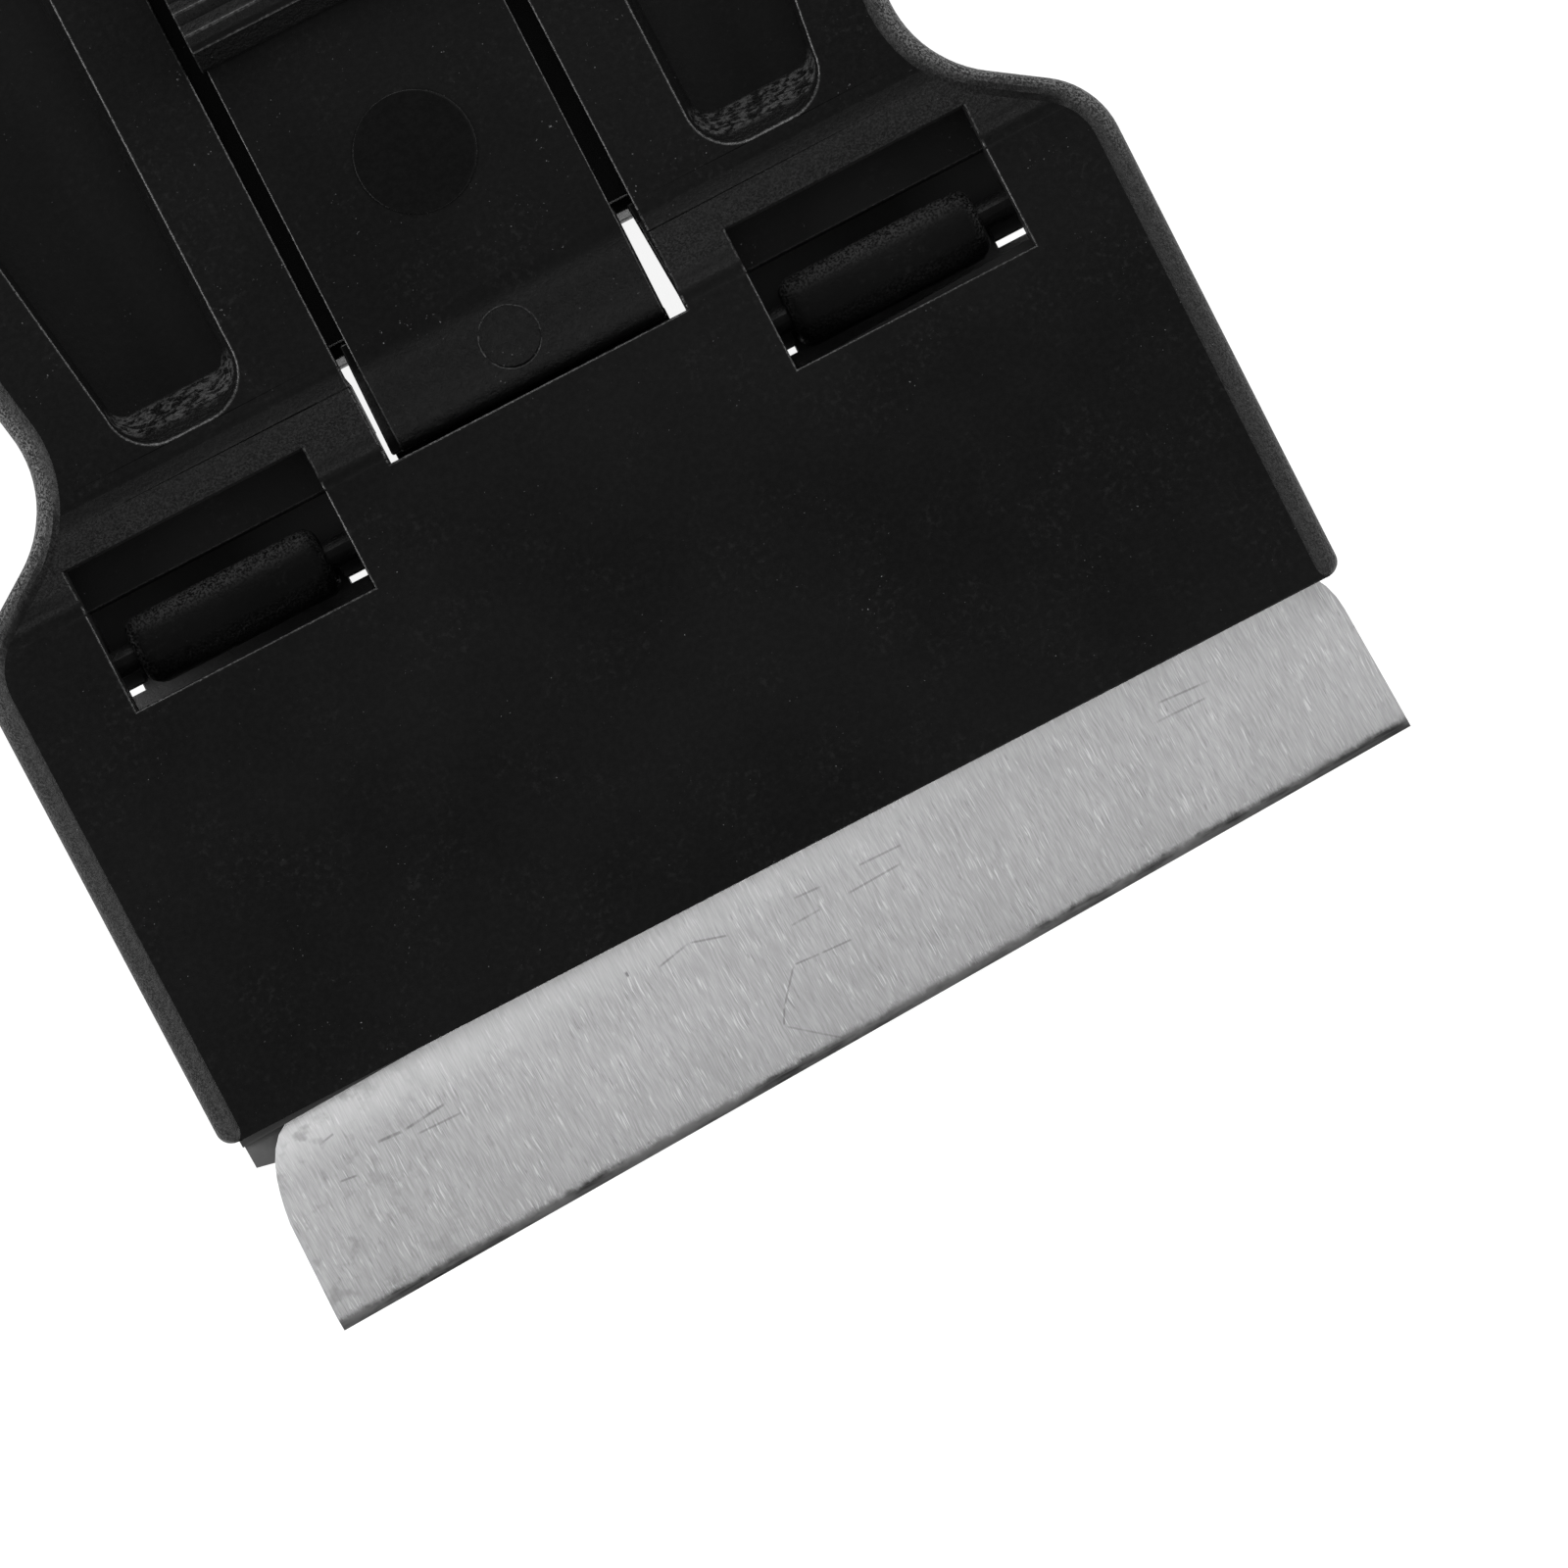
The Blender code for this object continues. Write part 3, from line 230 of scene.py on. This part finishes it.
def painted_fill_light(g, here, base, tone):
    """The same colour with painted light on the windows' ledges and floors and at the foot of the recesses,
    where shade falls.
    """
    y, z = g.split(here, "Y"), g.split(here, "Z")
    # Painted light on the windows' ledges
    base = g.blend(g.step(z, LEDGE_LOW, LEDGE_HIGH, 1.0, 0.0), base, grey(tone * LEDGE_FILL_LIGHT))
    # Painted light in the windows' wells, strongest in front of the hooks
    deep = g.product(g.step(z, WELL_LOW, WELL_HIGH, 1.0, 0.0),
                     g.step(y, LIP_Y + 13.6 * MM, LIP_Y + 14 * MM, 1.0, 0.2))
    base = g.blend(deep, base, grey(tone * WELL_FILL_LIGHT))
    # Painted light at the foot of the recesses
    sunk = g.product(g.step(z, RECESS_FLOOR + 0.05 * MM, RECESS_FLOOR + 0.3 * MM, 0.5, 0.0),
                     g.step(y, RECESS_FRONT, RECESS_FRONT + 1 * MM))
    return g.blend(sunk, base, grey(tone * RECESS_FOOT_FILL_LIGHT))


def scooped_ends(g, here):
    """How strongly the coarse grain shows on the scooped front ends of the recesses: a real bump, with its
    patches painted lighter as a painted highlight.
    """
    y, z = g.split(here, "Y"), g.split(here, "Z")
    return g.product(g.step(y, RECESS_FRONT + 0.35 * MM, RECESS_FRONT + 0.7 * MM),
                     g.step(y, RECESS_FRONT + 1.3 * MM, RECESS_FRONT + 1.9 * MM, 1.0, 0.0),
                     g.step(z, RECESS_FLOOR + 0.02 * MM, RECESS_FLOOR + 0.1 * MM),
                     g.step(z, RECESS_FLOOR + 1.2 * MM, RECESS_FLOOR + 1.5 * MM, 1.0, 0.0))


def hook_tops(g, here):
    """Where a highlight is painted: the rear of the hooks' tops in the windows."""
    y, z = g.split(here, "Y"), g.split(here, "Z")
    return g.product(g.step(y, HOOK_TOP_START, HOOK_TOP_START + 0.6 * MM),
                     g.step(z, 7.5 * MM, 7.9 * MM),
                     g.step(z, 8.35 * MM, 8.4 * MM, 1.0, 0.0))


def black_plastic(name, tone, roughness, grain=1.0, specks=1.0, disc=False, crest_highlight=0.0, shine=0.094):
    """Fine moulded grain, deeper on slopes, with soft uneven tone and light specks in clusters; highlights
    are painted on the slopes, the hooks' tops and the scoops' grain, and painted light lifts the shade in low
    places.
    """
    g = Graph(name)
    here = g.place()
    slope = g.step(g.facing("Z"), 0.6, 0.985, 1.0, 0.0)
    coarse = g.noise(here, 5200, 3, 0.6)
    fine = g.noise(here, 13000, 2, 0.6)
    cloud = g.noise(here, 110, 3, 0.55)
    base = g.blend(g.step(cloud, 0.3, 0.7), grey(tone * CLOUD_LOW), grey(tone * CLOUD_HIGH))
    patchy = g.step(g.noise(here, 420, 3, 0.6), 0.42, 0.66)
    mottle = g.product(g.step(g.noise(here, 4800, 3, 0.65), 0.5, 0.72), patchy)
    base = g.blend(mottle, base, grey(tone * MOTTLE))
    # Painted highlight on the grain of the slopes
    base = g.blend(painted_slope_highlight(g, here, slope, fine), base, grey(tone * SLOPE_HIGHLIGHT))
    # Painted light that lifts the shade in the low places
    base = painted_fill_light(g, here, base, tone)
    amount = specks
    if disc:
        offset = g.add("ShaderNodeVectorMath", {0: here, 1: DISC}, operation="DISTANCE").outputs["Value"]
        outside = g.calc("GREATER_THAN", offset, DISC_RADIUS)
        amount = g.calc("MULTIPLY", outside, specks)
        base = g.blend(outside, grey(tone * DISC_TONE), base)
    dust = g.noise(here, 11000, 2, 0.5)
    cluster = g.step(g.noise(here, 700, 3, 0.6), 0.45, 0.7, 0.0, 0.07)
    speck = g.calc("MULTIPLY", g.step(g.calc("ADD", dust, cluster), 0.75, 0.87), amount)
    colour = g.blend(speck, base, grey(0.12, 1.02))
    rough = g.step(coarse, 0.3, 0.7, roughness - 0.05, roughness + 0.06)
    depth = g.calc("MULTIPLY", g.calc("MULTIPLY_ADD", slope, 0.09 * MM, 0.01 * MM), grain)
    normal = g.bump(g.calc("MULTIPLY_ADD", fine, 0.5, coarse), depth, 0.9)
    scoop = scooped_ends(g, here)
    hide = g.noise(g.stretch(here, (0.75, 1.5, 1)), 4200, 2, 0.6)
    # Real coarse bump on the scoops, with its patches painted lighter as a painted highlight
    colour = g.blend(g.product(scoop, g.step(hide, 0.42, 0.6)), colour, grey(tone * SCOOP_GRAIN_HIGHLIGHT))
    normal = g.bump(hide, g.calc("MULTIPLY", scoop, 0.3 * MM), 1.0, normal)
    # Painted highlight on the hooks' tops, broken up by the grain
    crest = g.product(hook_tops(g, here), crest_highlight, g.step(fine, 0.38, 0.62))
    colour = g.blend(crest, colour, grey(tone * HOOK_HIGHLIGHT))
    return g.finish(base_color=colour, roughness=rough, specular_ior_level=shine, normal=normal)


def worn_edge(name):
    """Smoother plastic along the moulding's corners, nicked here and there."""
    g = Graph(name)
    here = g.place()
    nicks = g.step(g.noise(here, 7000, 2, 0.6), 0.45, 0.7)
    colour = g.blend(nicks, grey(0.004), grey(0.03))
    normal = g.bump(g.noise(here, 9000, 3, 0.6), 0.03 * MM, 0.9)
    return g.finish(base_color=colour, roughness=0.33, specular_ior_level=0.34, normal=normal)


def blade_place(g):
    """Metres along the cutting edge from its middle, and back from it."""
    pivot = BLADE_PIVOT.copy()
    pivot.rotate(Matrix.Rotation(-BLADE_SKEW, 3, "Z"))
    return g.place(turn=-BLADE_SKEW, shift=-pivot)


def holder_plastic():
    """Smooth satin moulding, slightly cloudy, with painted shade on its upper lip under the head."""
    g = Graph("holder_plastic")
    here = g.place()
    cloud = g.noise(here, 500, 4, 0.6)
    colour = g.blend(g.step(cloud, 0.3, 0.7), grey(0.098), grey(0.12))
    # Painted shade on the upper lip, where the head shades it
    lip_shade = g.step(g.split(blade_place(g), "Y"), 6.3 * MM, 6.6 * MM)
    colour = g.blend(lip_shade, colour, grey(0.035))
    normal = g.bump(g.noise(here, 9000, 2), 0.004 * MM, 0.7)
    return g.finish(base_color=colour, roughness=g.step(cloud, 0.2, 0.8, 0.34, 0.44), normal=normal)


def scratch(g, here, start, end, width, strength):
    """How strongly a straight scratch, given in millimetres on the blade, marks each place."""
    (x0, y0), (x1, y1) = start, end
    length = math.hypot(x1 - x0, y1 - y0)
    along = ((x1 - x0) / length, (y1 - y0) / length)
    x, y = g.split(here, "X"), g.split(here, "Y")
    dx, dy = g.calc("SUBTRACT", x, x0 * MM), g.calc("SUBTRACT", y, y0 * MM)
    run = g.calc("ADD", g.calc("MULTIPLY", dx, along[0]), g.calc("MULTIPLY", dy, along[1]))
    side = g.calc("SUBTRACT", g.calc("MULTIPLY", dx, along[1]), g.calc("MULTIPLY", dy, along[0]))
    near = g.step(g.calc("ABSOLUTE", side), width * MM * 0.3, width * MM, strength, 0.0)
    middle = g.calc("ABSOLUTE", g.calc("SUBTRACT", run, length * MM / 2))
    return g.calc("MULTIPLY", near, g.step(middle, length * MM * 0.38, length * MM * 0.5, 1.0, 0.0))


def brushing(g, here):
    """Fine lines at right angles to the cutting edge, and the tone that they give the steel."""
    waver = g.add("ShaderNodeTexNoise", {"Vector": here, "Scale": 900}).outputs["Color"]
    sway = g.stretch(waver, (0.12 * MM, 0, 0))
    bent = g.add("ShaderNodeVectorMath", {0: here, 1: sway}, operation="ADD").outputs[0]
    lines = g.noise(g.stretch(bent, (1, 0.055, 1)), 26000, 2, 0.6)
    light = g.step(g.noise(g.stretch(bent, (1, 0.05, 1)), 22000, 1, 0.5), 0.6, 0.68)
    dark = g.step(g.noise(g.stretch(bent, (1, 0.08, 1.1)), 20000, 1, 0.5), 0.3, 0.37, 1.0, 0.0)
    patches = g.step(g.noise(here, 1300, 2, 0.6), 0.42, 0.6)
    broad = g.noise(here, 260, 4, 0.6)
    tone = g.calc("MULTIPLY_ADD", lines, 0.32, g.calc("MULTIPLY", broad, 0.12))
    tone = g.calc("MULTIPLY_ADD", g.calc("MULTIPLY", light, patches), 0.2, tone)
    return lines, g.calc("MULTIPLY_ADD", g.calc("MULTIPLY", dark, patches), -0.12, tone)


def scratches(g, here):
    """All the scratches together, broken up along their length."""
    marks = 0.0
    for start, end, width, strength in SCRATCHES:
        marks = g.calc("MAXIMUM", scratch(g, here, start, end, width, strength), marks)
    return g.product(marks, g.step(g.noise(here, 2600, 2, 0.6), 0.3, 0.5, 0.35, 1.0))


def blade_steel():
    """Steel brushed at right angles to the cutting edge, scratched, dull and ragged where it is ground, and
    painted lighter towards the head's lip against its shade.
    """
    g = Graph("blade_steel")
    here = blade_place(g)
    lines, tone = brushing(g, here)
    colour = g.blend(g.step(tone, 0.0, 0.5), grey(0.22, 1.01), grey(0.53, 1.01))
    depth = g.split(here, "Y")
    # Painted light: the steel is painted lighter towards the head's lip, against the head's shade
    colour = g.blend(g.step(depth, 4.6 * MM, 6.2 * MM, 0.0, 0.3), colour, grey(0.8, 1.01))
    stain = g.product(g.step(g.noise(here, 1500, 3, 0.6), 0.5, 0.68),
                      g.step(g.split(here, "X"), -17.5 * MM, -11.5 * MM, 0.55, 0.0))
    colour = g.blend(stain, colour, grey(0.2))
    colour = g.blend(scratches(g, here), colour, grey(0.05))
    rag = g.noise(g.stretch(here, (1, 0.5, 1)), 2500, 4, 0.7)
    ragged = g.calc("ADD", depth, g.calc("MULTIPLY_ADD", rag, 0.4 * MM, -0.2 * MM))
    worn = g.step(g.noise(g.stretch(here, (0.35, 1, 1)), 900, 4, 0.7), 0.38, 0.62)
    streaks = g.noise(g.stretch(here, (0.06, 1, 1)), 9000, 3, 0.6)
    dull = g.blend(g.product(worn, g.step(streaks, 0.3, 0.7, 0.4, 1.0)), grey(0.22), grey(0.05))
    colour = g.blend(g.step(ragged, 0.2 * MM, 0.42 * MM, 1.0, 0.0), colour, dull)
    normal = g.bump(lines, 0.003 * MM, 0.6)
    along_edge = {0: math.cos(BLADE_SKEW), 1: -math.sin(BLADE_SKEW), 2: 0.0}
    g.feed(g.shader.inputs["Tangent"], g.add("ShaderNodeCombineXYZ", along_edge).outputs[0])
    return g.finish(base_color=colour, metallic=1.0, roughness=0.42, anisotropic=1.0, normal=normal)


def screw_steel():
    """Zinc plated steel, slightly cloudy."""
    g = Graph("screw_steel")
    cloud = g.noise(g.place(), 1800, 4, 0.6)
    colour = g.blend(g.step(cloud, 0.3, 0.7), grey(0.40, 1.03), grey(0.52, 1.03))
    return g.finish(base_color=colour, metallic=1.0, roughness=g.step(cloud, 0.3, 0.7, 0.26, 0.4))


# Scratches on the blade, in millimetres from the middle of its cutting edge: start, end, width, strength
SCRATCHES = (
    ((-15.3, 4.6), (-14.4, 4.5), 0.07, 0.5),
    ((-14.4, 4.5), (-12.8, 4.6), 0.06, 0.45),
    ((-14.1, 4.2), (-12.5, 4.1), 0.05, 0.35),
    ((-16.9, 4.1), (-16.3, 4.0), 0.05, 0.4),
    ((-16.9, 5.4), (-16.3, 5.5), 0.05, 0.4),
    ((-5.0, 5.0), (-3.8, 5.2), 0.05, 0.4),
    ((-3.8, 5.2), (-2.6, 4.8), 0.05, 0.4),
    ((-0.8, 4.1), (0.3, 4.1), 0.05, 0.35),
    ((1.2, 4.1), (3.2, 4.1), 0.05, 0.35),
    ((-0.3, 4.8), (0.7, 4.7), 0.05, 0.35),
    ((1.9, 4.7), (3.5, 4.6), 0.05, 0.35),
    ((12.5, 4.5), (14.4, 4.3), 0.05, 0.4),
    ((12.1, 4.0), (14.0, 3.9), 0.05, 0.35),
    ((0.7, 2.8), (-0.4, 2.9), 0.045, 0.4),
    ((-0.4, 2.9), (-1.3, 3.0), 0.045, 0.4),
    ((-1.3, 3.0), (-2.2, 2.0), 0.045, 0.4),
    ((-2.2, 2.0), (-2.5, 1.5), 0.045, 0.4),
    ((-2.5, 1.5), (-1.0, 0.2), 0.045, 0.3),
    ((-2.0, 2.3), (-1.9, 1.6), 0.045, 0.35),
    ((-6.0, 5.3), (-5.9, 5.3), 0.12, 0.6),
    ((19.0, 3.6), (19.4, 3.0), 0.05, 0.5),
    ((-17.3, 4.5), (-17.1, 4.5), 0.3, 0.25),
    ((-12.3, 2.9), (-12.1, 2.9), 0.3, 0.2),
)


# Pieces
def crown(y):
    """Height of the upper face: head, soft slope, handle."""
    t = min(1, max(0, (y - SLOPE_START) / SLOPE_LENGTH))
    return HEAD_TOP + HEAD_DROP * t * t * (3 - 2 * t)


def coarse_crown(y):
    """The same height along the straight runs between the stations of the CAD."""
    t = min(1, max(0, (y - SLOPE_START) / SLOPE_LENGTH)) * SLOPE_STATIONS
    k = min(SLOPE_STATIONS - 1, int(t))
    low, high = (crown(SLOPE_START + SLOPE_LENGTH * n / SLOPE_STATIONS) for n in (k, k + 1))
    return low + (high - low) * (t - k)


def smooth_slope(mesh):
    """Cut the slope between head and handle into fine runs and lift them to its true curve."""
    for k in range(SLOPE_RUNS + 1):
        parts = mesh.verts[:] + mesh.edges[:] + mesh.faces[:]
        place = (0, SLOPE_START + SLOPE_LENGTH * k / SLOPE_RUNS, 0)
        bmesh.ops.bisect_plane(mesh, geom=parts, dist=CUT_SNAP, plane_co=place, plane_no=(0, 1, 0))
    for vert in mesh.verts:
        y = vert.co.y
        if SLOPE_START < y < SLOPE_START + SLOPE_LENGTH and vert.co.z > crown(y) - EDGE_REACH:
            vert.co.z += crown(y) - coarse_crown(y)


def flat_areas(mesh):
    """Area of the flat that each face is a part of."""
    area = {}
    for start in mesh.faces:
        if start in area:
            continue
        area[start] = 0.0
        flat, todo = [], [start]
        while todo:
            face = todo.pop()
            flat.append(face)
            for other in (f for e in face.edges for f in e.link_faces):
                if other not in area and other.normal.dot(start.normal) > SAME_FLAT:
                    area[other] = 0.0
                    todo.append(other)
        total = sum(face.calc_area() for face in flat)
        area.update((face, total) for face in flat)
    return area


def corner_normals(mesh, limit, rounded):
    """Normals of the faces' corners: faces that meet softly share one, ruled by any large flat."""
    area = flat_areas(mesh)
    weight = {}
    for face in mesh.faces:
        weight[face] = LARGE_FLAT_WEIGHT if area[face] > LARGE_FLAT else 1.0
        if face in rounded:
            weight[face] = ROUNDED_WEIGHT
    normals = []
    for face in mesh.faces:
        for corner in face.loops:
            total = Vector()
            for other in corner.vert.link_loops:
                within = SOFT_LIMIT if face in rounded or other.face in rounded else limit
                if other.face.normal.dot(face.normal) > math.cos(within):
                    total += other.face.normal * weight[other.face] * other.calc_angle()
            normals.append(total.normalized() if total.length > 0 else Vector((0, 0, 1)))
    return normals


def soft_copy(node, name, width, material, edge=None, plain=None, shape=None, sharp=38):
    """Piece with the CAD node's shape and its outer edges rounded; plain tells which of them show no wear."""
    mesh = bmesh.new()
    mesh.from_mesh(frame["nodes"][node].data)
    bmesh.ops.remove_doubles(mesh, verts=mesh.verts, dist=WELD)
    bmesh.ops.dissolve_limit(mesh, angle_limit=FLAT_TURN, verts=mesh.verts, edges=mesh.edges)
    if shape:
        shape(mesh)
    bmesh.ops.triangulate(mesh, faces=[f for f in mesh.faces if len(f.verts) > MOST_SIDES])
    edges = [e for e in mesh.edges if e.calc_face_angle() > CORNER_TURN and e.is_convex]
    edges = [e for e in edges if e.calc_length() > SHORT_EDGE]
    rounded = set()
    if width:
        bevelled = bmesh.ops.bevel(mesh, geom=edges, offset=width, segments=2, profile=0.5, affect="EDGES",
                                   clamp_overlap=False)
        rounded = set(bevelled["faces"])
    for face in rounded:
        worn = edge and not (plain and plain(face.calc_center_median()))
        face.material_index = 1 if worn else 0
    mesh.normal_update()
    normals = corner_normals(mesh, math.radians(sharp), rounded)
    data = bpy.data.meshes.new(name)
    mesh.to_mesh(data)
    mesh.free()
    data.shade_smooth()
    data.normals_split_custom_set(normals)
    data.materials.append(material)
    if edge:
        data.materials.append(edge)
    piece = bpy.data.objects.new(name, data)
    bpy.context.scene.collection.objects.link(piece)
    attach(piece, frame["nodes"][node]["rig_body"])
    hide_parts(node)


def unworn_shell(place):
    """Corners of the upper shell without wear: the front lip, and low down in the windows."""
    return place.y < LIP_Y + 0.3 * MM or (place.y < WINDOW_BACK and place.z < HEAD_UNDER)


def on_disc(place):
    return (place - DISC).length < DISC_RADIUS + 0.3 * MM


shell = black_plastic("shell_plastic", BLACK, 0.4)
strip = black_plastic("strip_plastic", BLACK, 0.4, disc=True, shine=0.084)
jaw = black_plastic("jaw_plastic", BLACK, 0.42, grain=2.0, specks=0.3, crest_highlight=1.0, shine=0.025)
edge = worn_edge("edge_plastic")
holder = holder_plastic()
steel = blade_steel()
zinc = screw_steel()
soft_copy("body_top", "upper_shell", 0.07 * MM, shell, edge, unworn_shell, smooth_slope, sharp=15)
soft_copy("body_bottom", "lower_shell", 0.08 * MM, shell)
soft_copy("front_screw", "screw_front", 0.05 * MM, zinc)
soft_copy("rear_screw", "screw_rear", 0.05 * MM, zinc)
soft_copy("slider", "slide_strip", 0.05 * MM, strip, edge, on_disc)
soft_copy("wedge_shoe", "slide_wedge", 0.03 * MM, strip)
soft_copy("lower_jaw", "clamp_jaw", 0.06 * MM, jaw)
soft_copy("blade_holder", "blade_seat", 0, holder)
soft_copy("blade", "steel_blade", 0, steel)


# Floor
def floor_material():
    """White to the camera and in reflections, and it still takes the object's shadow."""
    g = Graph("floor")
    path = g.add("ShaderNodeLightPath").outputs
    seen = g.calc("MAXIMUM", g.calc("MAXIMUM", path["Is Camera Ray"], path["Is Glossy Ray"]),
                  path["Is Transmission Ray"])
    plain = g.add("ShaderNodeBsdfDiffuse", {"Color": grey(0.8)})
    shade = g.add("ShaderNodeBsdfDiffuse", {"Color": grey(0.2)})
    glow = g.add("ShaderNodeEmission", {"Color": grey(1), "Strength": 0.9})
    both = g.add("ShaderNodeAddShader", {0: shade.outputs[0], 1: glow.outputs[0]})
    mix = g.add("ShaderNodeMixShader", {0: seen, 1: plain.outputs[0], 2: both.outputs[0]})
    g.feed(g.nodes["Material Output"].inputs["Surface"], mix.outputs[0])
    g.nodes.remove(g.shader)
    return g.material


def lay_floor():
    mesh = bpy.data.meshes.new("floor")
    half = FLOOR_HALF
    corners = [(-half, -half, 0), (half, -half, 0), (half, half, 0), (-half, half, 0)]
    mesh.from_pydata(corners, [], [(0, 1, 2, 3)])
    mesh.materials.append(floor_material())
    floor = bpy.data.objects.new("floor", mesh)
    bpy.context.scene.collection.objects.link(floor)
    floor.location.z = -FLOOR_DROP


# Light
def lamp(name, azimuth, elevation, width, height, level):
    """Soft rectangle of light; level is what it adds to a white surface that faces it."""
    data = bpy.data.lights.new(name, "AREA")
    data.shape = "RECTANGLE"
    data.size = width
    data.size_y = height
    data.energy = level * (math.pi * LAMP_DISTANCE) ** 2
    thing = bpy.data.objects.new(name, data)
    bpy.context.scene.collection.objects.link(thing)
    a, e = math.radians(azimuth), math.radians(elevation)
    offset = Vector((math.cos(a) * math.cos(e), math.sin(a) * math.cos(e), math.sin(e))) * LAMP_DISTANCE
    thing.location = LAMP_TARGET + offset
    thing.rotation_mode = "QUATERNION"
    thing.rotation_quaternion = offset.to_track_quat("Z", "Y")


def light():
    for settings in LAMPS:
        lamp(*settings)
    world = bpy.data.worlds.new("world")
    world.use_nodes = True
    background = world.node_tree.nodes["Background"]
    background.inputs["Color"].default_value = grey(1)
    background.inputs["Strength"].default_value = WORLD_LEVEL
    bpy.context.scene.world = world


def aim_camera():
    data = bpy.data.cameras.new("camera")
    data.sensor_width = CAMERA_SENSOR
    data.lens = CAMERA_LENS
    data.clip_start = 0.01
    data.clip_end = 100
    camera = bpy.data.objects.new("camera", data)
    bpy.context.scene.collection.objects.link(camera)
    camera.location = CAMERA_PLACE
    camera.rotation_euler = (0, 0, CAMERA_TURN)
    bpy.context.scene.camera = camera


lay_floor()
light()
aim_camera()
bpy.context.scene.view_settings.view_transform = "Standard"
